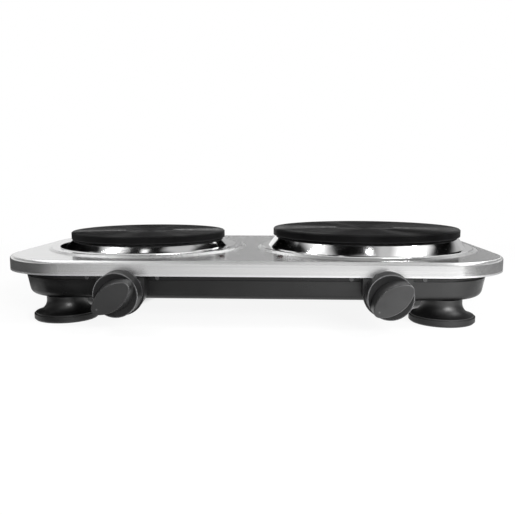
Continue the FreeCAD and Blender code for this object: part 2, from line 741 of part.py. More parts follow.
def make_trim_ring(kind, side):
    """Pressed ring: brim on the seat, cone up to the plate, flange and collar under the rim."""
    body = new_body(kind + "_trim_ring", signed(side, "plate_offset"), z=SEAT_TOP)
    edge = kind + "_plate_radius"
    top = kind + "_ring_height"
    revolve(body, [
        (f"{edge} + ring_brim", "0"),
        (f"{edge} + ring_brim", "ring_sheet"),
        (f"{edge} + ring_foot", "ring_sheet"),
        (f"{edge} - ring_tuck", top),
        (f"{edge} - ring_flange", top),
        (f"{edge} - ring_flange", f"{top} - ring_collar"),
        (f"{edge} - ring_flange + ring_sheet", f"{top} - ring_collar"),
        (f"{edge} - ring_flange + ring_sheet", f"{top} - ring_sheet"),
        (f"{edge} - ring_tuck - ring_sheet", f"{top} - ring_sheet"),
        (f"{edge} + ring_foot - 1.5 * ring_sheet", "0"),
    ])


def make_hotplate(kind, side):
    """Cast-iron plate: flat top with a middle recess, rim, skirt and hub below."""
    body = new_body(kind + "_hotplate", signed(side, "plate_offset"), z=SEAT_TOP)
    edge = kind + "_plate_radius"
    rim = kind + "_ring_height"
    top = rim + " + plate_rim"
    recess = kind + "_recess_radius"
    skirt = edge + " - plate_shoulder"
    bore = "stud_radius + thread_gap"
    revolve(body, [
        ("0", f"{top} - recess_depth"),
        (recess, f"{top} - recess_depth"),
        (f"{recess} + recess_slope", top),
        (f"{edge} - plate_edge", top),
        (edge, f"{top} - plate_edge"),
        (edge, rim),
        (skirt, rim),
        (skirt, "-plate_reach"),
        (f"{skirt} - plate_skirt", "-plate_reach"),
        (f"{skirt} - plate_skirt", f"{top} - plate_body"),
        ("hub_radius", f"{top} - plate_body"),
        ("hub_radius", "-plate_reach"),
        (bore, "-plate_reach"),
        (bore, "stud_grip - plate_reach"),
        ("0", "stud_grip - plate_reach"),
    ])


def make_heater(kind, side):
    """Ring of magnesia that holds the heating wire, in the hollow under the plate."""
    body = new_body(kind + "_heater", signed(side, "plate_offset"), z=SEAT_TOP)
    inner = "hub_radius + pack_gap"
    outer = f"{kind}_plate_radius - plate_shoulder - plate_skirt - pack_gap"
    top = f"{kind}_ring_height + plate_rim - plate_body"
    revolve(body, [(inner, "-plate_reach"), (outer, "-plate_reach"), (outer, top), (inner, top)])


def terminal_y(kind):
    return f"{kind}_plate_radius - block_setback"


def make_plate_cover(kind, side):
    """Sheet that closes the plate from below, holed for the stud and the pins."""
    body = new_body(kind + "_plate_cover", signed(side, "plate_offset"), z=SEAT_TOP)
    disc = new_sketch(body, "XY_Plane", "-plate_reach - plate_cover_sheet")
    circle(disc, "0", "0", f"{kind}_plate_radius - plate_shoulder - plate_cover_inset")
    circle(disc, "0", "0", "stud_radius + hole_gap")
    for way in ("-", "+"):
        circle(disc, f"{way}pin_spread".lstrip("+"), terminal_y(kind), "2 * pin_radius")
    pad(body, disc, "plate_cover_sheet")


def make_strap(kind, side):
    """Hat-shaped bar whose ends press up against the cover round the opening."""
    body = new_body(kind + "_strap", signed(side, "plate_offset"), z=SEAT_TOP)
    opening = f"{kind}_plate_radius - opening_inset"
    land = f"{opening} + strap_thick / 2"
    end = f"{land} + strap_land"
    flat = f"{land} - strap_bend"
    high = "-cover_sheet"
    low = "-strap_drop"
    profile = new_sketch(body, "XZ_Plane")
    upper = [(f"-({end})", high), (f"-({land})", high), (f"-({flat})", low),
             (flat, low), (land, high), (end, high)]
    under_high = f"{high} - strap_thick"
    under_low = f"{low} - strap_thick"
    lower = [(end, under_high), (f"{land} + strap_thick / 4", under_high),
             (f"{flat} + strap_thick / 4", under_low), (f"-({flat} + strap_thick / 4)", under_low),
             (f"-({land} + strap_thick / 4)", under_high), (f"-({end})", under_high)]
    outline(profile, upper + lower)
    pad(body, profile, "strap_width", both_ways=True)
    hole = new_sketch(body, "XY_Plane")
    circle(hole, "0", "0", "stud_radius + hole_gap")
    pocket(body, hole)


def make_stud(kind, side):
    """Stud from the plate's hub down through the strap; returns its washer and nut."""
    x = signed(side, "plate_offset")
    under = f"{SEAT_TOP} - strap_drop - strap_thick"
    stud = cylinder(kind + "_stud", "stud_radius",
                    "stud_grip - plate_reach + strap_drop + strap_thick + washer_thick + nut_height"
                    " + stud_tail")
    stud.Label = kind + "_stud"
    place(stud, x, z=f"{under} - washer_thick - nut_height - stud_tail")
    subparts.append(stud)
    washer = doc.addObject("Part::Cut", kind + "_washer")
    washer.Base = cylinder(kind + "_washer_disc", "washer_radius", "washer_thick")
    washer.Tool = cylinder(kind + "_washer_hole", "stud_radius + hole_gap", "washer_thick")
    place(washer, x, z=f"{under} - washer_thick")
    hexagon = doc.addObject("Part::Prism", kind + "_nut_hexagon")
    hexagon.Polygon = 6
    bind(hexagon, "Circumradius", "nut_across / sqrt(3)")
    bind(hexagon, "Height", "nut_height")
    nut = doc.addObject("Part::Cut", kind + "_nut")
    nut.Base = hexagon
    nut.Tool = cylinder(kind + "_nut_bore", "stud_radius + thread_gap", "nut_height")
    place(nut, x, z=f"{under} - washer_thick - nut_height")
    return washer, nut


def make_terminal(kind, side):
    """Ceramic block under the plate; returns its two pins."""
    body = new_body(kind + "_terminal", signed(side, "plate_offset"), z=SEAT_TOP)
    top = "-plate_reach - plate_cover_sheet"
    block = new_sketch(body, "XY_Plane", top)
    y = terminal_y(kind)
    box(block, "-ceramic_width / 2", "ceramic_width / 2",
        f"{y} - ceramic_depth / 2", f"{y} + ceramic_depth / 2")
    for x in ("-pin_spread", "pin_spread"):
        circle(block, x, y, "pin_radius + thread_gap")
    pad(body, block, "ceramic_height", reverse=True)
    pins = []
    for way in (-1, 1):
        rod = cylinder(f"{kind}_pin_{'left' if way < 0 else 'right'}", "pin_radius",
                       "plate_cover_sheet + ceramic_height + pin_tail")
        place(rod, f"{signed(side, 'plate_offset')} + {signed(way, 'pin_spread')}",
              f"{COVER_Y} + {y}", PIN_FOOT)
        pins.append(rod)
    return pins


def make_hotplates():
    washers = []
    nuts = []
    pins = []
    for kind, side in PLATES:
        make_trim_ring(kind, side)
        make_hotplate(kind, side)
        make_heater(kind, side)
        make_plate_cover(kind, side)
        make_strap(kind, side)
        washer, nut = make_stud(kind, side)
        washers.append(washer)
        nuts.append(nut)
        pins += make_terminal(kind, side)
    group("clamp_washers", washers)
    group("clamp_nuts", nuts)
    group("terminal_pins", pins)


# Controls

def make_thermostat(name, side):
    """Closed thermostat body with its bush through the boss's front wall."""
    body = new_body(name + "_thermostat", knob_x(side), BOSS_BACK_FACE, KNOB_AXIS)
    case = new_sketch(body, "XZ_Plane")
    box(case, "-thermostat_width / 2", "thermostat_width / 2", "-thermostat_below", "thermostat_above")
    pad(body, case, "thermostat_depth", reverse=True)
    bush = new_sketch(body, "XZ_Plane")
    circle(bush, "0", "0", "bush_radius")
    pad(body, bush, "boss_wall + boss_setback")
    bore = new_sketch(body, "XZ_Plane", "boss_wall + boss_setback")
    circle(bore, "0", "0", "spindle_radius + spindle_gap")
    pocket(body, bore, "boss_wall + boss_setback + socket_depth")
    taps = new_sketch(body, "XZ_Plane")
    for x in ("-panel_screw_spread", "panel_screw_spread"):
        circle(taps, x, "0", "panel_screw_radius + thread_gap")
    pocket(body, taps, "panel_screw_length - boss_wall")
    screws = []
    tabs = []
    for way in (-1, 1):
        mark = f"{name}_{'left' if way < 0 else 'right'}"
        item = screw("panel_screw_" + mark, "panel_head_radius", "panel_head_height", "panel_screw_radius",
                     "panel_screw_length")
        place(item, f"{knob_x(side)} + {signed(way, 'panel_screw_spread')}",
              FRONT + " + boss_setback", KNOB_AXIS, TOWARD_BACK)
        screws.append(item)
        tab = doc.addObject("Part::Box", "tab_" + mark)
        bind(tab, "Length", "tab_width")
        bind(tab, "Width", "tab_length")
        bind(tab, "Height", "tab_thick")
        place(tab, f"{knob_x(side)} + {signed(way, 'tab_spread')} - tab_width / 2",
              BOSS_BACK_FACE + " + thermostat_depth", KNOB_AXIS + " - tab_thick / 2")
        tabs.append(tab)
    return screws, tabs


def turn_with_grip(item):
    """Turn a piece of the knob about the knob's axis, as the grip stands."""
    item.Placement = FreeCAD.Placement(V(0, 0, 0), FreeCAD.Rotation(V(0, 1, 0), 10))
    bind(item, "Placement.Rotation.Angle", "-grip_angle * 1 deg")


def knob_body(name, side):
    body = new_body(name, knob_x(side), FRONT + " - knob_gap", KNOB_AXIS)
    turn_with_grip(body)
    return body


def grip_outline(body, setback, half_width, end):
    """Lens of two wide arcs, closed by two small ones at the grip's ends."""
    sketch = new_sketch(body, "XZ_Plane", setback)
    reach = f"knob_front_radius - grip_inset - {end}"
    bulge = (f"(({reach}) * ({reach}) + {half_width} * {half_width} - {end} * {end})"
             f" / (2 * ({half_width} - {end}))")
    radius = value(bulge)
    lean = math.asin(value(reach) / (radius - value(end)))
    arcs = []
    for way in (1, -1):
        centre = V(0, way * (value(half_width) - radius), 0)
        middle = way * math.pi / 2
        ring = Part.Circle(centre, V(0, 0, 1), radius)
        arcs.append(sketch.addGeometry(Part.ArcOfCircle(ring, middle - lean, middle + lean)))
        tip = Part.Circle(V(-way * value(reach), 0, 0), V(0, 0, 1), value(end))
        arcs.append(sketch.addGeometry(Part.ArcOfCircle(tip, middle + lean, middle + math.pi - lean)))
    for index, arc in enumerate(arcs):
        constrain(sketch, "Tangent", arc, 2, arcs[(index + 1) % 4], 1)
    constrain(sketch, "Radius", arcs[0], size=bulge)
    constrain(sketch, "Equal", arcs[0], arcs[2])
    for tip, way in ((arcs[1], -1), (arcs[3], 1)):
        constrain(sketch, "Radius", tip, size=end)
        pin(sketch, tip, 3, signed(way, reach), "0")
    return sketch


def make_knob(name, side):
    """Hollow round knob with a dished front and a lens-shaped bar grip across it."""
    body = knob_body(name + "_knob", side)
    cavity = "knob_radius - knob_wall"
    rear = "-(knob_depth - knob_dish - knob_wall)"
    revolve(body, [
        ("0", "-knob_gap"),
        ("spindle_hub", "-knob_gap"),
        ("spindle_hub", rear),
        (cavity, rear),
        (cavity, "0"),
        ("knob_radius", "0"),
        ("knob_front_radius", "-knob_depth"),
        ("knob_front_radius - knob_wall / 2", "-knob_depth"),
        ("spindle_hub", "-(knob_depth - knob_dish)"),
        ("0", "-(knob_depth - knob_dish)"),
    ], "XY_Plane")
    foot = grip_outline(body, "knob_depth - knob_dish - knob_wall / 2", "grip_foot_half_width",
                        "grip_foot_tip")
    lens = grip_outline(body, "knob_depth + grip_height", "grip_half_width", "grip_tip")
    bar = loft(body, "AdditiveLoft", foot, lens)
    face = -value("knob_depth + grip_height")

    def face_edge(edge):
        return edge.BoundBox.YMax < face + 1e-4

    fillet(body, bar, "grip_edge", face_edge)
    bore = new_sketch(body, "XZ_Plane", "knob_gap")
    circle(bore, "0", "0", "spindle_radius + spindle_gap")
    pocket(body, bore, "spindle_grip", reverse=True)


def make_spindle(name, side):
    """Spindle from inside the thermostat to the knob's hub, with a flat for the clip."""
    body = knob_body(name + "_spindle", side)
    tail = "knob_gap + boss_setback + boss_wall + socket_depth"
    rod = new_sketch(body, "XZ_Plane", f"-({tail})")
    circle(rod, "0", "0", "spindle_radius")
    pad(body, rod, f"{tail} + knob_gap + spindle_grip")
    flat = new_sketch(body, "XZ_Plane", "knob_gap")
    box(flat, "-spindle_radius", "spindle_radius", "spindle_flat", "2 * spindle_radius")
    pocket(body, flat, "spindle_grip", reverse=True)
    clip = knob_body(name + "_knob_clip", side)
    leaf = new_sketch(clip, "XZ_Plane", "knob_gap")
    box(leaf, "-clip_width / 2", "clip_width / 2", "spindle_flat", "spindle_flat + clip_thick")
    pad(clip, leaf, "spindle_grip")


def make_controls():
    screws = []
    tabs = []
    for name, side in SIDES:
        new_screws, new_tabs = make_thermostat(name, side)
        screws += new_screws
        tabs += new_tabs
        make_spindle(name, side)
        make_knob(name, side)
    group("thermostat_screws", screws)
    group("thermostat_tabs", tabs)


# Inside of the base

def shield_screw_places():
    places = []
    for x in (-1, 1):
        for y in (f"-({SHIELD_FRONT}) + shield_screw_inset", SHIELD_BACK + " - shield_screw_inset"):
            places.append((signed(x, "shield_width / 2 - shield_screw_inset"), y))
    return places


def make_heat_shield():
    body = new_body("heat_shield", z=FLOOR_TOP + " + shield_rise")
    plan = new_sketch(body, "XY_Plane")
    outline(plan, [
        ("-shield_width / 2", f"-({SHIELD_FRONT})", "shield_corner"),
        ("shield_width / 2", f"-({SHIELD_FRONT})", "shield_corner"),
        ("shield_width / 2", SHIELD_BACK, "shield_corner"),
        ("-shield_width / 2", SHIELD_BACK, "shield_corner"),
    ])
    for x, y in shield_screw_places():
        circle(plan, x, y, "shield_screw_radius + hole_gap")
    pad(body, plan, "shield_sheet")
    screws = []
    for index, (x, y) in enumerate(shield_screw_places()):
        item = screw(f"shield_screw_{index}", "shield_head_radius", "shield_head_height",
                     "shield_screw_radius", "shield_sheet + shield_rise")
        place(item, x, f"{COVER_Y} + {y}", SHIELD_TOP, DOWNWARD)
        screws.append(item)
    group("shield_screws", screws)


def make_terminal_block():
    """Three-pole block on the heat shield, with its terminal screws."""
    body = new_body("terminal_block", z=SHIELD_TOP)
    plan = new_sketch(body, "XY_Plane")
    box(plan, "-block_width / 2", "block_width / 2", BLOCK_FRONT, BLOCK_BACK)
    pad(body, plan, "block_height")
    slots = new_sketch(body, "XY_Plane", "block_height")
    for way in (-1, 1):
        middle = signed(way, "pole_pitch / 2")
        box(slots, f"{middle} - pole_slot / 2", f"{middle} + pole_slot / 2", BLOCK_FRONT, BLOCK_BACK)
    pocket(body, slots, "block_height / 3")
    screws = []
    for pole in (-1, 0, 1):
        for row, depth in (("front", "block_depth / 4"), ("back", "3 * block_depth / 4")):
            item = cylinder(f"pole_screw_{pole + 1}_{row}", "pole_screw_radius", "pole_screw_height")
            place(item, f"{pole} * pole_pitch", f"{COVER_Y} + {BLOCK_FRONT} + {depth}",
                  SHIELD_TOP + " + block_height")
            screws.append(item)
    group("block_screws", screws)


def make_cord_gland():
    """Flanged bush in the back wall, where the supply cord enters."""
    seat = "cover_depth / 2 - base_front_inset + gland_pad_out"
    body = new_body("cord_gland", "0", f"{COVER_Y} + {seat}", "foot_height + gland_rise")
    length = "gland_pad_out + gland_pad_in"
    revolve(body, [
        ("gland_bore", "gland_flange_thick"),
        ("gland_flange - gland_flange_thick / 2", "gland_flange_thick"),
        ("gland_flange", "gland_flange_thick / 2"),
        ("gland_flange", "0"),
        ("gland_barrel", "0"),
        ("gland_barrel", f"-({length})"),
        ("gland_lip", f"-({length})"),
        ("gland_barrel", f"-({length} + gland_lip_thick)"),
        ("gland_bore", f"-({length} + gland_lip_thick)"),
    ], "XY_Plane")


def make_earth_tag():
    """Angle on the heat shield that takes the earth lead."""
    body = new_body("earth_tag", "-earth_offset", COVER_Y + " + earth_reach", SHIELD_TOP)
    profile = new_sketch(body, "XZ_Plane")
    height = "lead_rise + lead_radius"
    outline(profile, [
        ("0", "0"),
        ("0", f"{height} + earth_tag_sheet"),
        ("-earth_tag_sheet", f"{height} + earth_tag_sheet"),
        ("-earth_tag_sheet", "earth_tag_sheet"),
        ("-earth_tag_foot", "earth_tag_sheet"),
        ("-earth_tag_foot", "0"),
    ])
    pad(body, profile, "earth_tag_width", both_ways=True)


def make_pilot_lamp(name, side):
    """Small domed lens in the cover, with its lamp body below."""
    body = new_body(name + "_pilot_lamp", signed(side, "lamp_offset"), f"{COVER_Y} - ({LAMP_FRONT})",
                    COVER_TOP)
    revolve(body, [
        ("0", "lamp_rise"),
        ("lamp_radius", "lamp_rise", "lamp_dome"),
        ("lamp_radius", "0"),
        ("lamp_body_radius", "0"),
        ("lamp_body_radius", "-lamp_body"),
        ("0", "-lamp_body"),
    ])


# Leads

def tube(route):
    """Round lead along straight runs joined by tangent arcs."""
    points = [V(*(value(text) for text in spot)) for spot in route]
    edges = []
    start = points[0]
    for index in range(1, len(points) - 1):
        corner = points[index]
        back = (points[index - 1] - corner).normalize()
        ahead = (points[index + 1] - corner).normalize()
        half = back.getAngle(ahead) / 2
        trim = value("lead_bend") / math.tan(half)
        into, out = corner + back * trim, corner + ahead * trim
        middle = (back + ahead).normalize()
        crown = corner + middle * (value("lead_bend") / math.sin(half) - value("lead_bend"))
        edges.append(Part.LineSegment(start, into).toShape())
        edges.append(Part.Arc(into, crown, out).toShape())
        start = out
    edges.append(Part.LineSegment(start, points[-1]).toShape())
    path = Part.Wire(edges)
    section = Part.Wire(Part.Circle(points[0], points[1] - points[0], value("lead_radius")).toShape())
    return path.makePipeShell([section], True, False)


def leads(name, routes):
    feature = doc.addObject("Part::Feature", name)
    feature.Label = name
    feature.Shape = Part.makeCompound([tube(route) for route in routes])
    feature.Placement = FreeCAD.Placement(V(0, value(COVER_Y), 0), FreeCAD.Rotation())
    subparts.append(feature)


def make_leads():
    """Live, neutral, switched and earth leads, and the twin leads of the pilot lamps."""
    tab_end = "-(cover_depth / 2) + boss_setback + boss_wall + thermostat_depth + tab_length"
    live = []
    switched = []
    for name, side in SIDES:
        kind = "small" if side < 0 else "large"
        inner_tab = knob_x(side, "-tab_spread")
        live.append([
            (signed(side, "lead_split"), BLOCK_FRONT, LEAD_LEVEL),
            (signed(side, "lead_split"), "lead_turn_inset - cover_depth / 2", LEAD_LEVEL),
            (inner_tab, "lead_run_inset - cover_depth / 2", KNOB_AXIS),
            (inner_tab, tab_end, KNOB_AXIS),
        ])
        outer_pin = signed(side, "plate_offset + pin_spread")
        switched.append([
            (knob_x(side, "tab_spread"), tab_end, KNOB_AXIS),
            (outer_pin, terminal_y(kind), KNOB_AXIS),
            (outer_pin, terminal_y(kind), PIN_FOOT),
        ])
    small_pin = "-plate_offset + pin_spread"
    large_pin = "plate_offset - pin_spread"
    neutral = [
        [
            ("pole_pitch - lead_split", BLOCK_FRONT, LEAD_LEVEL + " + lead_lift"),
            ("pole_pitch - lead_split", terminal_y("small"), LEAD_LEVEL + " + lead_lift"),
            (small_pin, terminal_y("small"), LEAD_LEVEL + " + lead_lift"),
            (small_pin, terminal_y("small"), PIN_FOOT),
        ],
        [
            ("pole_pitch + lead_split", BLOCK_FRONT, LEAD_LEVEL),
            ("pole_pitch + lead_split", terminal_y("large"), LEAD_LEVEL),
            (large_pin, terminal_y("large"), LEAD_LEVEL),
            (large_pin, terminal_y("large"), PIN_FOOT),
        ],
    ]
    earth = [
        ("-pole_pitch", BLOCK_FRONT, LEAD_LEVEL),
        ("-pole_pitch", "earth_reach", LEAD_LEVEL),
        ("-earth_offset", "earth_reach", LEAD_LEVEL),
    ]
    lamp = []
    lamp_run = "lamp_lead_inset - cover_depth / 2"
    for name, side in SIDES:
        where = signed(side, "lamp_offset")
        lamp.append([
            (where, f"-({LAMP_FRONT})", f"{COVER_TOP} - lamp_body"),
            (where, f"-({LAMP_FRONT})", LAMP_LEAD_LEVEL),
            (where, lamp_run, LAMP_LEAD_LEVEL),
            (knob_x(side, "-thermostat_width / 2"), lamp_run, LAMP_LEAD_LEVEL),
        ])
    leads("live_leads", live)
    leads("neutral_leads", neutral)
    leads("switched_leads", switched)
    leads("earth_lead", [earth])
    leads("lamp_leads", lamp)


def check_and_write():
    """Stop on any failed object or bad solid, then write one file per sub-part."""
    doc.recompute()
    for item in doc.Objects:
        if "Invalid" in item.State or "Error" in item.State:
            raise RuntimeError(f"{item.Label} failed: {item.State}")
    for item in subparts:
        if item.Shape.isNull() or not item.Shape.isValid() or not item.Shape.Solids:
            raise RuntimeError(f"{item.Label} has no valid solid")
    os.makedirs("parts", exist_ok=True)
    for item in subparts:
        item.Shape.exportStep(f"parts/{item.Label}.step")


make_top_cover()
make_base_pan()
make_cover_fixings()
make_feet()
make_hotplates()
make_controls()
make_heat_shield()
make_terminal_block()
make_cord_gland()
make_earth_tag()
for lamp_name, lamp_side in SIDES:
    make_pilot_lamp(lamp_name, lamp_side)
make_leads()
check_and_write()
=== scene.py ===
"""Looks of the double hot plate: materials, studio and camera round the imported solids."""

import json
import math

import bpy
from mathutils import Matrix, Vector

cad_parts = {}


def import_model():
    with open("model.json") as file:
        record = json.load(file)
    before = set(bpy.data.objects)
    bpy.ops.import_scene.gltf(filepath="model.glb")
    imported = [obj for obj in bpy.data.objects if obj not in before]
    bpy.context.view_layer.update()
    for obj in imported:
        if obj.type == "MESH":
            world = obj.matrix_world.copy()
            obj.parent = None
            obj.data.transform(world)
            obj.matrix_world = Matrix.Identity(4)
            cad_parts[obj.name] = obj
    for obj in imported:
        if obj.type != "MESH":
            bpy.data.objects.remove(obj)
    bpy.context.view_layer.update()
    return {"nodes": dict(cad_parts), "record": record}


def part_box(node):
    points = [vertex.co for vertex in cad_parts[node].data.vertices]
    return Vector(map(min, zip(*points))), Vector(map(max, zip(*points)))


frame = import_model()
NODES = frame["nodes"]

# Sizes on the object, in metres
EDGE_REACH = 0.0014
HEM_START = 0.0009
HEM_END = 0.0018
SMALL_SEAT_RIM = 0.023
LARGE_SEAT_RIM = 0.017
SEAT_BLUR = 0.003
SMALL_RECESS = 0.024
LARGE_RECESS = 0.029
# Width of the painted highlight ring round each plate's recess
RECESS_HIGHLIGHT_WIDTH = 0.003
DISH_INNER = -0.003
DISH_OUTER = 0.005
DISH_DEPTH = 0.00018
GRAIN_DEPTH = 0.0003
GRIP_DEPTH = 0.013
GRIP_BLUR = 0.001
DOT_ASIDE = 0.0112
DOT_DROP = 0.0089
DOT_RADIUS = 0.0006
DOT_BLUR = 0.0003
BRUSH_LINE = (0.998, 0.05, 0.02)

# Colours of the painted highlights on the hem and on the plates' recess rings and rims, and of the pointer
# dots
HEM_HIGHLIGHT = (0.93, 0.93, 0.94, 1.0)
RECESS_HIGHLIGHT = (0.035, 0.035, 0.036, 1.0)
RIM_HIGHLIGHT = (0.05, 0.05, 0.051, 1.0)
DOT_COLOUR = (0.06, 0.06, 0.06, 1.0)

# Roughness that the cover's hem and bends have beyond the sheet's
HEM_DULL = 0.2
SEAT_DULL = 0.08
FRONT_DULL = 0.30
CORNER_DULL = 0.03

# Studio sizes, in metres
FLOOR_HALF = 6.0
FLOOR_LEVEL = -0.0002
CARD_LEVEL = 0.0006
CARD_GAP = 0.002
SHADE_ASIDE = 0.160
SHADE_BEHIND = 0.05
SHADE_WIDTH = 0.05
SHADE_DEPTH = 0.10
OPEN_START = 0.30
OPEN_END = 0.80
CEILING = 0.8
CEILING_HALF = 2.6
FAR_START = 1.6
FAR_END = 2.0

# Studio levels, as shares of plain white
WHITE = (1.0, 1.0, 1.0, 1.0)
FLOOR_PAINT = (0.80, 0.80, 0.80, 1.0)
FLOOR_WHITE = 0.90
SEEN_WHITE = 1.0
WORLD_LIGHT = 0.35
FAR_GLOW = 0.5
# Light windows in the ceiling: left, right, front, back, soft edge and level
WINDOWS = (
    (-0.62, -0.42, -0.40, 0.22, 0.12, 1.25),
    (0.06, 0.37, -0.08, 0.33, 0.04, 0.55),
    (0.21, 0.42, -0.60, -0.05, 0.05, 0.58),
    (0.40, 1.02, -0.60, 0.10, 0.10, 1.25),
    (-0.75, 0.35, 0.40, 1.10, 0.06, 1.0),
    (-0.60, 0.25, -1.50, -0.55, 0.10, 1.2),
    (-0.17, -0.10, -0.20, -0.10, 0.015, 1.5),
)

# What a lamp lights: all but the bright sheet and the plates, or the sheet alone
FLAGGED = ("EXCLUDE", "top_cover", "large_hotplate", "small_hotplate")
SHEET_ONLY = ("INCLUDE", "top_cover")
# Lamps: name, place, point it is aimed at, width and height, watts, and what it lights if not all
LAMPS = (
    ("left_top_box", (-0.51, -0.10, 0.78), (-0.1, -0.1, 0.05), (0.10, 0.3), 3.0, None),
    ("right_top_box", (0.70, -0.25, 0.78), (0.1, -0.1, 0.05), (0.2, 0.3), 5.0, None),
    ("spot_box", (0.12, -0.42, 0.78), (0.1, -0.1, 0.05), (0.04, 0.02), 0.5, None),
    ("front_box", (0.60, -1.0, 0.45), (0.1, 0.0, 0.03), (0.6, 0.4), 18.0, FLAGGED),
    ("right_box", (1.2, -0.8, 0.7), (0.0, 0.0, 0.05), (0.4, 0.6), 3.5, FLAGGED),
    ("left_sheet_box", (-1.225, 0.8, 0.79), (-1.225, 0.8, 0.0), (1.05, 2.2), 3.6, SHEET_ONLY),
    ("right_sheet_box", (1.225, 0.8, 0.79), (1.225, 0.8, 0.0), (1.05, 2.2), 3.6, SHEET_ONLY),
    ("back_box", (0.05, 0.95, 0.78), (0.0, 0.0, 0.05), (0.8, 0.2), 1.5, None),
)

# The photograph's viewpoint: place in metres, turns in radians, lens in millimetres
CAMERA_PLACE = (0.0328, -0.60105, 0.12565)
YAW, PITCH, ROLL = -0.051, -0.130, -0.001
SENSOR_WIDTH = 36.0
FOCAL_LENGTH = 42.17
CLIP_START = 0.01

# Stretch of a noise that most of its values lie in
MOST = (0.3, 0.7)


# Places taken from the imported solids

def round_plate(node):
    """Middle, as a point on the floor, and radius of a plate."""
    low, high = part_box(node)
    middle = (low + high) / 2
    return (middle.x, middle.y, 0.0), (high.x - low.x) / 2


def pointer_dot(node):
    """Small round mark at the lower left of a knob's face."""
    low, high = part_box(node)
    middle = (low + high) / 2
    return middle.x - DOT_ASIDE, low.y, middle.z - DOT_DROP


SMALL_CENTRE, SMALL_RADIUS = round_plate("small_hotplate")
LARGE_CENTRE, LARGE_RADIUS = round_plate("large_hotplate")
COVER_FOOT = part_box("top_cover")[0].z
KNOB_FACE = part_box("left_knob")[0].y
POINTER_DOTS = [pointer_dot(knob) for knob in ("left_knob", "right_knob")]


# Node trees

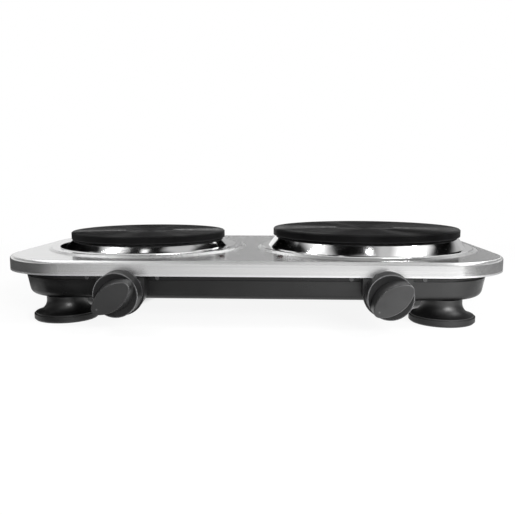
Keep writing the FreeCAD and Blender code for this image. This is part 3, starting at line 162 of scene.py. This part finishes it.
class Tree:
    """Short way to write a material's nodes."""

    def __init__(self, name):
        self.material = bpy.data.materials.new(name)
        self.material.use_nodes = True
        self.tree = self.material.node_tree
        self.tree.nodes.clear()
        self.output = self.tree.nodes.new("ShaderNodeOutputMaterial")
        self.where = self.add("ShaderNodeTexCoord").outputs["Object"]

    def add(self, kind, settings=None, **sockets):
        """A node with its sockets given by name, or by number as in i0."""
        item = self.tree.nodes.new(kind)
        for key, content in (settings or {}).items():
            setattr(item, key, content)
        for key, content in sockets.items():
            self.feed(item, key, content)
        return item

    def feed(self, item, key, content):
        """A socket set to a constant, or linked to another node's output."""
        numbered = key[0] == "i" and key[1:].isdigit()
        socket = item.inputs[int(key[1:]) if numbered else key.replace("_", " ")]
        if isinstance(content, bpy.types.NodeSocket):
            self.tree.links.new(content, socket)
        else:
            socket.default_value = content

    def close(self, shader):
        """The material, ended with its shader."""
        self.tree.links.new(shader, self.output.inputs["Surface"])
        return self.material

    def surface(self, **sockets):
        return self.close(self.add("ShaderNodeBsdfPrincipled", **sockets).outputs["BSDF"])

    def glow(self, strength):
        """White light of the given strength."""
        return self.add("ShaderNodeEmission", Color=WHITE, Strength=strength).outputs["Emission"]

    def axis(self, name):
        """One of the object coordinates."""
        return self.add("ShaderNodeSeparateXYZ", Vector=self.where).outputs[name]

    def facing(self):
        """Direction that the solid's surface faces."""
        return self.add("ShaderNodeNewGeometry").outputs["Normal"]

    def math(self, operation, first, second=0.0, third=0.0):
        item = self.add("ShaderNodeMath", {"operation": operation}, i0=first, i1=second, i2=third)
        return item.outputs[0]

    def vector(self, operation, first, second=(0.0, 0.0, 0.0)):
        item = self.add("ShaderNodeVectorMath", {"operation": operation}, i0=first, i1=second)
        return item.outputs["Value" if operation in ("LENGTH", "DISTANCE") else "Vector"]

    def weigh(self, first, share, second):
        """The first by its share, and the second by the rest."""
        return self.math("MULTIPLY_ADD", first, share, self.math("MULTIPLY", second, 1.0 - share))

    def noise(self, scale, detail=3.0, rough=0.6, where=None):
        """Noise with one scale, or with one for each axis."""
        where = where or self.where
        if isinstance(scale, tuple):
            where = self.add("ShaderNodeMapping", Vector=where, Scale=scale).outputs["Vector"]
            scale = 1.0
        item = self.add("ShaderNodeTexNoise", Vector=where, Scale=scale, Detail=detail, Roughness=rough)
        return item.outputs["Fac"]

    def ramp(self, factor, stops):
        """Colour ramp through (place, grey or colour) stops."""
        item = self.add("ShaderNodeValToRGB", Fac=factor)
        elements = item.color_ramp.elements
        while len(elements) < len(stops):
            elements.new(0.5)
        for element, (spot, colour) in zip(elements, stops):
            element.position = spot
            shade = (colour, colour, colour) if isinstance(colour, float) else colour
            element.color = (*shade, 1.0)
        return item.outputs["Color"]

    def span(self, factor, source, result=(0.0, 1.0)):
        """The source range carried to the result range, and held beyond its ends."""
        item = self.add("ShaderNodeMapRange", Value=factor, From_Min=source[0], From_Max=source[1],
                        To_Min=result[0], To_Max=result[1])
        return item.outputs["Result"]

    def blend(self, factor, first, second):
        """From the first colour to the second."""
        return self.add("ShaderNodeMix", {"data_type": "RGBA"}, Factor=factor, i6=first, i7=second).outputs[2]

    def bump(self, height, strength, distance, below=None):
        item = self.add("ShaderNodeBump", Height=height, Strength=strength, Distance=distance)
        if below is not None:
            self.feed(item, "Normal", below)
        return item.outputs["Normal"]

    def beyond(self, place, low, high):
        """How far a place lies outside a stretch, or less than zero inside it."""
        off = self.math("ABSOLUTE", self.math("SUBTRACT", place, (low + high) / 2))
        return self.math("SUBTRACT", off, (high - low) / 2)

    def by_plate(self, small=0.0, large=0.0):
        """Distance from the middle of the plate on this side, less a radius of that plate."""
        flat_place = self.vector("MULTIPLY", self.where, (1.0, 1.0, 0.0))
        right = self.math("GREATER_THAN", self.axis("X"), 0.0)
        from_small = self.math("SUBTRACT", self.vector("DISTANCE", flat_place, SMALL_CENTRE), small)
        from_large = self.math("SUBTRACT", self.vector("DISTANCE", flat_place, LARGE_CENTRE), large)
        both = self.add("ShaderNodeMix", {"data_type": "FLOAT"}, Factor=right, i2=from_small, i3=from_large)
        return both.outputs[0]

    def edges(self):
        """One on outer edges, zero on flat faces."""
        item = self.add("ShaderNodeAmbientOcclusion", {"inside": True, "only_local": True, "samples": 8},
                        Distance=EDGE_REACH)
        return self.span(item.outputs["AO"], (0.35, 0.85), (1.0, 0.0))


# Materials

def brushed_steel():
    """Stainless sheet brushed from left to right, with a painted highlight along the hem and duller bends."""
    t = Tree("stainless_top")
    fine = t.noise((6.0, 900.0, 900.0), detail=4.0)
    broad = t.noise((2.0, 120.0, 120.0))
    cloud = t.noise(7.0, rough=0.5)
    lines = t.weigh(broad, 0.5, fine)
    sheet = t.ramp(lines, [(0.3, 0.60), (0.5, 0.68), (0.72, 0.76)])
    hem = t.span(t.axis("Z"), (COVER_FOOT + HEM_START, COVER_FOOT + HEM_END), (1.0, 0.0))
    # Painted highlight: the hem band is lightened towards white, standing in for light caught along the
    # skirt's lower edge.
    colour = t.blend(hem, sheet, HEM_HIGHLIGHT)
    brushed = t.math("ADD", t.span(lines, MOST, (0.16, 0.24)), t.span(cloud, MOST, (-0.03, 0.03)))
    rough = t.math("MULTIPLY_ADD", hem, HEM_DULL, brushed)
    facing = t.facing()
    slope = t.add("ShaderNodeSeparateXYZ", Vector=facing).outputs
    off_upright = t.span(slope["Z"], (0.10, 0.30))
    off_level = t.span(slope["Z"], (0.955, 0.99), (1.0, 0.0))
    bend = t.math("MULTIPLY", off_upright, off_level)
    from_seat = t.by_plate(SMALL_RADIUS + SMALL_SEAT_RIM, LARGE_RADIUS + LARGE_SEAT_RIM)
    seat = t.span(from_seat, (0.0, SEAT_BLUR), (1.0, 0.0))
    front = t.span(t.math("ABSOLUTE", slope["X"]), (0.20, 0.45), (FRONT_DULL, CORNER_DULL))
    away = t.math("MULTIPLY", front, t.math("SUBTRACT", 1.0, seat))
    duller = t.math("MAXIMUM", t.math("MULTIPLY", seat, SEAT_DULL), away)
    rough = t.math("MULTIPLY_ADD", bend, duller, rough)
    across = t.vector("CROSS_PRODUCT", facing, BRUSH_LINE)
    return t.surface(Base_Color=colour, Metallic=1.0, Roughness=rough, Anisotropic=0.75, Tangent=across,
                     Normal=t.bump(fine, strength=0.04, distance=0.0002))


def polished_ring():
    """Chromed pressing with a slight dish and faint wipe marks."""
    t = Tree("polished_ring")
    wipe = t.noise((30.0, 30.0, 60.0), detail=4.0)
    specks = t.noise(900.0, detail=2.0, rough=0.5)
    colour = t.ramp(wipe, [(0.3, 0.80), (0.7, 0.86)])
    rough = t.math("ADD", t.span(wipe, (0.35, 0.75), (0.07, 0.15)), t.span(specks, (0.5, 0.8), (0.0, 0.02)))
    place = t.span(t.by_plate(SMALL_RADIUS, LARGE_RADIUS), (DISH_INNER, DISH_OUTER), (-1.0, 1.0))
    dish = t.bump(t.math("MULTIPLY", place, place), strength=1.0, distance=-DISH_DEPTH)
    normal = t.bump(wipe, strength=0.02, distance=0.001, below=dish)
    return t.surface(Base_Color=colour, Metallic=1.0, Roughness=rough, Normal=normal)


def cast_iron():
    """Sealed grey iron with turning marks round each plate's middle, and painted highlights round the recess
    and on the outer edges.
    """
    t = Tree("plate_iron")
    turned = t.add("ShaderNodeCombineXYZ", X=t.by_plate()).outputs["Vector"]
    rings = t.noise(700.0, where=turned)
    bands = t.noise(75.0, detail=2.0, rough=0.5, where=turned)
    grain = t.noise(1600.0)
    patch = t.noise(18.0, detail=4.0)
    tone = t.weigh(bands, 0.6, patch)
    metal = t.ramp(tone, [(0.38, (0.002, 0.002, 0.0021)), (0.62, (0.014, 0.014, 0.0143))])
    recess = t.math("ABSOLUTE", t.by_plate(SMALL_RECESS, LARGE_RECESS))
    # Painted highlight: a lighter ring where the plate's recess meets its top.
    recess_highlighted = t.blend(t.span(recess, (0.0, RECESS_HIGHLIGHT_WIDTH), (0.8, 0.0)), metal, RECESS_HIGHLIGHT)
    # Painted highlight: the plate's outer edges are lightened in colour.
    colour = t.blend(t.edges(), recess_highlighted, RIM_HIGHLIGHT)
    marks = t.span(t.weigh(rings, 0.3, bands), (0.38, 0.62), (0.46, 0.70))
    rough = t.math("ADD", marks, t.span(patch, (0.35, 0.65), (-0.08, 0.08)))
    grooves = t.bump(rings, strength=0.10, distance=GRAIN_DEPTH)
    normal = t.bump(grain, strength=0.16, distance=GRAIN_DEPTH, below=grooves)
    x, y = t.axis("X"), t.axis("Y")
    middle = t.math("MULTIPLY", t.math("SIGN", x), LARGE_CENTRE[0])
    along = t.add("ShaderNodeCombineXYZ", X=t.math("SUBTRACT", LARGE_CENTRE[1], y),
                  Y=t.math("SUBTRACT", x, middle)).outputs["Vector"]
    facing = t.facing()
    across = t.vector("NORMALIZE", t.vector("CROSS_PRODUCT", facing, along))
    upward = t.add("ShaderNodeSeparateXYZ", Vector=facing).outputs["Z"]
    gloss = t.span(upward, (0.2, 0.8), (0.02, 0.14))
    return t.surface(Base_Color=colour, Roughness=rough, Specular_IOR_Level=gloss, Anisotropic=1.0,
                     Tangent=across, Normal=normal)


def moulded(slot, dark, light, rough, grain_scale=1400.0, grain=0.12, gloss=0.5, edge_highlight=None, matt_behind=None,
            dots=(), flow=0.0):
    """Satin moulding with fine grain, slight mottling and rub marks.

    Where asked, it has painted highlights on its outer edges, a matt back, small pale dots or flow marks.
    """
    t = Tree(slot)
    mottle = t.noise(35.0, detail=4.0)
    rub = t.noise((60.0, 60.0, 220.0))
    colour = t.ramp(mottle, [(0.3, dark), (0.7, light)])
    # Painted highlight: outer edges are lightened towards the given colour.
    if edge_highlight:
        colour = t.blend(t.edges(), colour, (*edge_highlight, 1.0))
    for dot in dots:
        inside = t.span(t.vector("DISTANCE", t.where, dot), (DOT_RADIUS, DOT_RADIUS + DOT_BLUR), (1.0, 0.0))
        colour = t.blend(inside, colour, DOT_COLOUR)
    satin = t.math("ADD", t.span(mottle, MOST, rough), t.span(rub, MOST, (-0.03, 0.03)))
    if flow:
        satin = t.math("ADD", satin, t.span(t.noise((5.0, 90.0, 130.0)), MOST, (-flow, flow)))
    if matt_behind is not None:
        gloss = t.span(t.axis("Y"), (matt_behind - GRIP_BLUR, matt_behind), (gloss, 0.25 * gloss))
    fine = t.noise(grain_scale, detail=2.0, rough=0.5)
    normal = t.bump(fine, strength=grain, distance=GRAIN_DEPTH)
    return t.surface(Base_Color=colour, Roughness=satin, Specular_IOR_Level=gloss, Normal=normal)


def plated(slot, dark, light, rough):
    """Plated or plain metal of a small or hidden piece, with cloudy spangle and fine scratches."""
    t = Tree(slot)
    cells = t.add("ShaderNodeTexVoronoi", Vector=t.where, Scale=260.0).outputs["Distance"]
    cloud = t.noise(60.0, detail=4.0)
    scratch = t.noise((40.0, 900.0, 300.0))
    colour = t.ramp(t.weigh(cells, 0.35, cloud), [(0.2, dark), (0.7, light)])
    return t.surface(Base_Color=colour, Metallic=1.0, Roughness=t.span(cloud, MOST, rough),
                     Normal=t.bump(scratch, strength=0.06, distance=GRAIN_DEPTH))


def grey(shade):
    """Grey with a trace of blue."""
    return (shade, shade, shade * 1.02)


# Mouldings and metals: darkest and lightest colour, range of roughness and what else is asked for
MOULDINGS = {
    "black_base": dict(dark=grey(0.002), light=grey(0.004), rough=(0.34, 0.46), flow=0.10),
    # The edge colours below are painted highlights on the outer edges of the knobs and feet.
    "black_knob": dict(dark=grey(0.008), light=grey(0.013), rough=(0.34, 0.46), edge_highlight=grey(0.22),
                       matt_behind=KNOB_FACE + GRIP_DEPTH, dots=POINTER_DOTS),
    "black_foot": dict(dark=grey(0.001), light=grey(0.002), rough=(0.36, 0.44), edge_highlight=grey(0.02)),
    "foot_rubber": dict(dark=grey(0.004), light=grey(0.008), rough=(0.44, 0.60),
                        grain_scale=900.0, grain=0.25, gloss=0.4),
    "heater_pack": dict(dark=(0.52, 0.50, 0.46), light=(0.68, 0.66, 0.61), rough=(0.75, 0.92),
                        grain_scale=700.0, grain=0.5),
    "terminal_ceramic": dict(dark=(0.66, 0.64, 0.58), light=(0.78, 0.76, 0.70), rough=(0.14, 0.24)),
    "thermostat_case": dict(dark=(0.09, 0.07, 0.05), light=(0.14, 0.11, 0.08), rough=(0.45, 0.6)),
    "block_plastic": dict(dark=(0.60, 0.58, 0.53), light=(0.70, 0.68, 0.63), rough=(0.4, 0.55)),
    "gland_rubber": dict(dark=grey(0.010), light=grey(0.018), rough=(0.5, 0.65),
                         grain_scale=900.0, grain=0.25),
    "lamp_lens": dict(dark=(0.010, 0.003, 0.003), light=(0.016, 0.004, 0.004), rough=(0.06, 0.12),
                      grain_scale=300.0, grain=0.02),
    "live_insulation": dict(dark=(0.07, 0.025, 0.012), light=(0.11, 0.04, 0.02), rough=(0.4, 0.55)),
    "neutral_insulation": dict(dark=(0.01, 0.03, 0.16), light=(0.02, 0.05, 0.22), rough=(0.4, 0.55)),
    "switched_insulation": dict(dark=(0.50, 0.49, 0.46), light=(0.62, 0.61, 0.57), rough=(0.5, 0.65)),
    "earth_insulation": dict(dark=(0.09, 0.17, 0.015), light=(0.30, 0.30, 0.02), rough=(0.4, 0.55)),
}
METALS = {
    "black_screw": dict(dark=grey(0.07), light=grey(0.12), rough=(0.16, 0.28)),
    "zinc_steel": dict(dark=grey(0.42), light=grey(0.58), rough=(0.28, 0.42)),
    "shield_steel": dict(dark=grey(0.45), light=grey(0.62), rough=(0.35, 0.5)),
    "brass_contact": dict(dark=(0.50, 0.34, 0.12), light=(0.66, 0.48, 0.20), rough=(0.26, 0.4)),
}
MATERIALS = {"stainless_top": brushed_steel(), "polished_ring": polished_ring(), "plate_iron": cast_iron()}
MATERIALS.update((slot, moulded(slot, **looks)) for slot, looks in MOULDINGS.items())
MATERIALS.update((slot, plated(slot, **looks)) for slot, looks in METALS.items())

for entry in frame["record"]["subparts"]:
    shape = NODES[entry["node"]]
    shape.data.materials.clear()
    shape.data.materials.append(MATERIALS[entry["material_slot"]])


# Studio

def seen_directly(tree):
    """One for rays from the camera, a reflection or clear plastic; zero for the rest."""
    path = tree.nodes.new("ShaderNodeLightPath")
    total = path.outputs["Is Camera Ray"]
    for name in ("Is Glossy Ray", "Is Transmission Ray"):
        larger = tree.nodes.new("ShaderNodeMath")
        larger.operation = "MAXIMUM"
        tree.links.new(total, larger.inputs[0])
        tree.links.new(path.outputs[name], larger.inputs[1])
        total = larger.outputs[0]
    return total


def plane(name, corners, material):
    """Flat four-cornered piece of the studio."""
    mesh = bpy.data.meshes.new(name)
    mesh.from_pydata(corners, [], [(0, 1, 2, 3)])
    mesh.materials.append(material)
    item = bpy.data.objects.new(name, mesh)
    bpy.context.collection.objects.link(item)
    return item


def flat(left, right, front, back, level=CARD_LEVEL):
    """Corners of a level sheet, such as a card that lies on the floor."""
    return [(left, front, level), (right, front, level), (right, back, level), (left, back, level)]


def upright(x0, y0, x1, y1, top):
    """Corners of a card that stands on the floor."""
    return [(x0, y0, 0.0), (x1, y1, 0.0), (x1, y1, top), (x0, y0, top)]


def floor():
    """Pale floor, white where it is seen in the open, in real shade under the two ends of the object."""
    t = Tree("floor_white")
    paint = t.add("ShaderNodeBsdfDiffuse", Color=FLOOR_PAINT).outputs["BSDF"]
    side = t.math("SUBTRACT", t.math("ABSOLUTE", t.axis("X")), SHADE_ASIDE)
    depth = t.math("SUBTRACT", t.axis("Y"), SHADE_BEHIND)
    oval = t.add("ShaderNodeCombineXYZ", X=t.math("DIVIDE", side, SHADE_WIDTH),
                 Y=t.math("DIVIDE", depth, SHADE_DEPTH)).outputs["Vector"]
    unshaded = t.span(t.vector("LENGTH", oval), (0.5, 1.1))
    away = t.span(t.vector("LENGTH", t.where), (OPEN_START, OPEN_END), (FLOOR_WHITE, 1.0))
    share = t.math("MULTIPLY", seen_directly(t.tree), t.math("MULTIPLY", unshaded, away))
    mix = t.add("ShaderNodeMixShader", Fac=share, i1=paint, i2=t.glow(SEEN_WHITE))
    corners = flat(-FLOOR_HALF, FLOOR_HALF, -FLOOR_HALF, FLOOR_HALF, FLOOR_LEVEL)
    plane("floor", corners, t.close(mix.outputs[0]))


def reflected_only(item):
    """Leaves a piece of the studio to reflections alone."""
    item.visible_camera = False
    item.visible_diffuse = False
    item.visible_shadow = False
    item.visible_transmission = False


def card(name, corners, left_level, right_level, bend=1.0, fade=1.0):
    """Glowing card that only reflections see, graded from left to right and towards its back edge."""
    t = Tree(name)
    ends = sorted(corner[0] for corner in corners)
    depths = sorted(corner[1] for corner in corners)
    across = t.math("POWER", t.span(t.axis("X"), (ends[0], ends[-1])), bend)
    level = t.span(across, (0.0, 1.0), (left_level, right_level))
    if fade != 1.0:
        level = t.math("MULTIPLY", level, t.span(t.axis("Y"), (depths[0], depths[-1]), (1.0, fade)))
    reflected_only(plane(name, corners, t.close(t.glow(level))))


def ceiling():
    """Dark ceiling with bright sides and soft-edged light windows, seen by the polished metal."""
    t = Tree("dark_ceiling")
    x, y = t.axis("X"), t.axis("Y")
    level = t.span(t.math("ABSOLUTE", x), (FAR_START, FAR_END), (0.0, FAR_GLOW))
    for left, right, front, back, soft, bright in WINDOWS:
        outside = t.math("MAXIMUM", t.beyond(x, left, right), t.beyond(y, front, back))
        level = t.math("MAXIMUM", level, t.span(outside, (-soft, soft), (bright, 0.0)))
    corners = flat(-CEILING_HALF, CEILING_HALF, -CEILING_HALF, CEILING_HALF, CEILING)
    reflected_only(plane("dark_ceiling", corners, t.close(t.glow(level))))


def world():
    """White for what is seen directly or in a reflection, a soft grey tent for the rest."""
    item = bpy.data.worlds.new("studio")
    bpy.context.scene.world = item
    item.use_nodes = True
    tree = item.node_tree
    tree.nodes.clear()
    output = tree.nodes.new("ShaderNodeOutputWorld")
    mix = tree.nodes.new("ShaderNodeMixShader")
    tree.links.new(seen_directly(tree), mix.inputs["Fac"])
    for socket, strength in ((1, WORLD_LIGHT), (2, SEEN_WHITE)):
        background = tree.nodes.new("ShaderNodeBackground")
        background.inputs["Color"].default_value = WHITE
        background.inputs["Strength"].default_value = strength
        tree.links.new(background.outputs[0], mix.inputs[socket])
    tree.links.new(mix.outputs[0], output.inputs["Surface"])


def softbox(name, place, aim, size, watts, lights=None):
    """Rectangular lamp for all pieces, or by a rule that includes or excludes the named ones."""
    lamp = bpy.data.lights.new(name, "AREA")
    lamp.shape = "RECTANGLE"
    lamp.size, lamp.size_y = size
    lamp.energy = watts
    item = bpy.data.objects.new(name, lamp)
    item.location = place
    item.rotation_euler = (Vector(aim) - Vector(place)).to_track_quat("-Z", "Y").to_euler()
    item.visible_camera = False
    bpy.context.collection.objects.link(item)
    if lights:
        rule, *names = lights
        chosen = bpy.data.collections.new(name + "_flag")
        for node in names:
            chosen.objects.link(NODES[node])
        for member in chosen.collection_objects:
            member.light_linking.link_state = rule
        item.light_linking.receiver_collection = chosen


def dark_card(name, x0, y0, x1, y1, top):
    """Dark card for the rings, with a lamp of its size that gives the sheet the white behind it."""
    card(name, upright(x0, y0, x1, y1, top), 0.0, 0.0)
    width = math.hypot(x1 - x0, y1 - y0)
    front = Vector((y1 - y0, x0 - x1, 0.0)).normalized()
    place = Vector(((x0 + x1) / 2, (y0 + y1) / 2, top / 2)) + CARD_GAP * front
    softbox(name + "_box", place, place + front, (width, top), SEEN_WHITE * math.pi * width * top, SHEET_ONLY)


def camera():
    """The photograph's viewpoint, worked out from the cover, plates and knobs."""
    ahead = Vector((math.sin(YAW) * math.cos(PITCH), math.cos(YAW) * math.cos(PITCH), math.sin(PITCH)))
    right = Vector((math.cos(YAW), -math.sin(YAW), 0.0))
    up = right.cross(ahead)
    lens = bpy.data.cameras.new("camera")
    lens.sensor_width = SENSOR_WIDTH
    lens.sensor_fit = "HORIZONTAL"
    lens.lens = FOCAL_LENGTH
    lens.clip_start = CLIP_START
    item = bpy.data.objects.new("camera", lens)
    turn = Matrix((right, up, -ahead)).transposed() @ Matrix.Rotation(ROLL, 3, "Z")
    item.matrix_world = Matrix.Translation(CAMERA_PLACE) @ turn.to_4x4()
    bpy.context.collection.objects.link(item)
    bpy.context.scene.camera = item


floor()
world()
for lamp_row in LAMPS:
    softbox(*lamp_row)
ceiling()
card("near_card", flat(-0.28, 0.28, -0.205, -0.097), 0.03, 4.6, bend=2.0, fade=0.45)
card("front_card", flat(-0.40, 0.40, -0.90, -0.205), 0.12, 1.30, bend=0.6)
card("far_left_card", flat(-0.90, -0.28, -0.25, 0.30), 0.12, 0.12)
card("left_card", upright(-0.37, -0.75, -0.36, 0.4, 0.06), 0.10, 0.10)
card("right_card", upright(0.36, -0.3, 0.37, 0.5, 0.06), 0.26, 0.26)
card("back_card", upright(-0.16, 1.2, 1.5, 1.2, 0.42), 0.45, 0.6)
dark_card("ring_card", -0.95, 0.55, -0.50, 1.00, 0.45)
camera()
bpy.context.scene.view_settings.view_transform = "Standard"
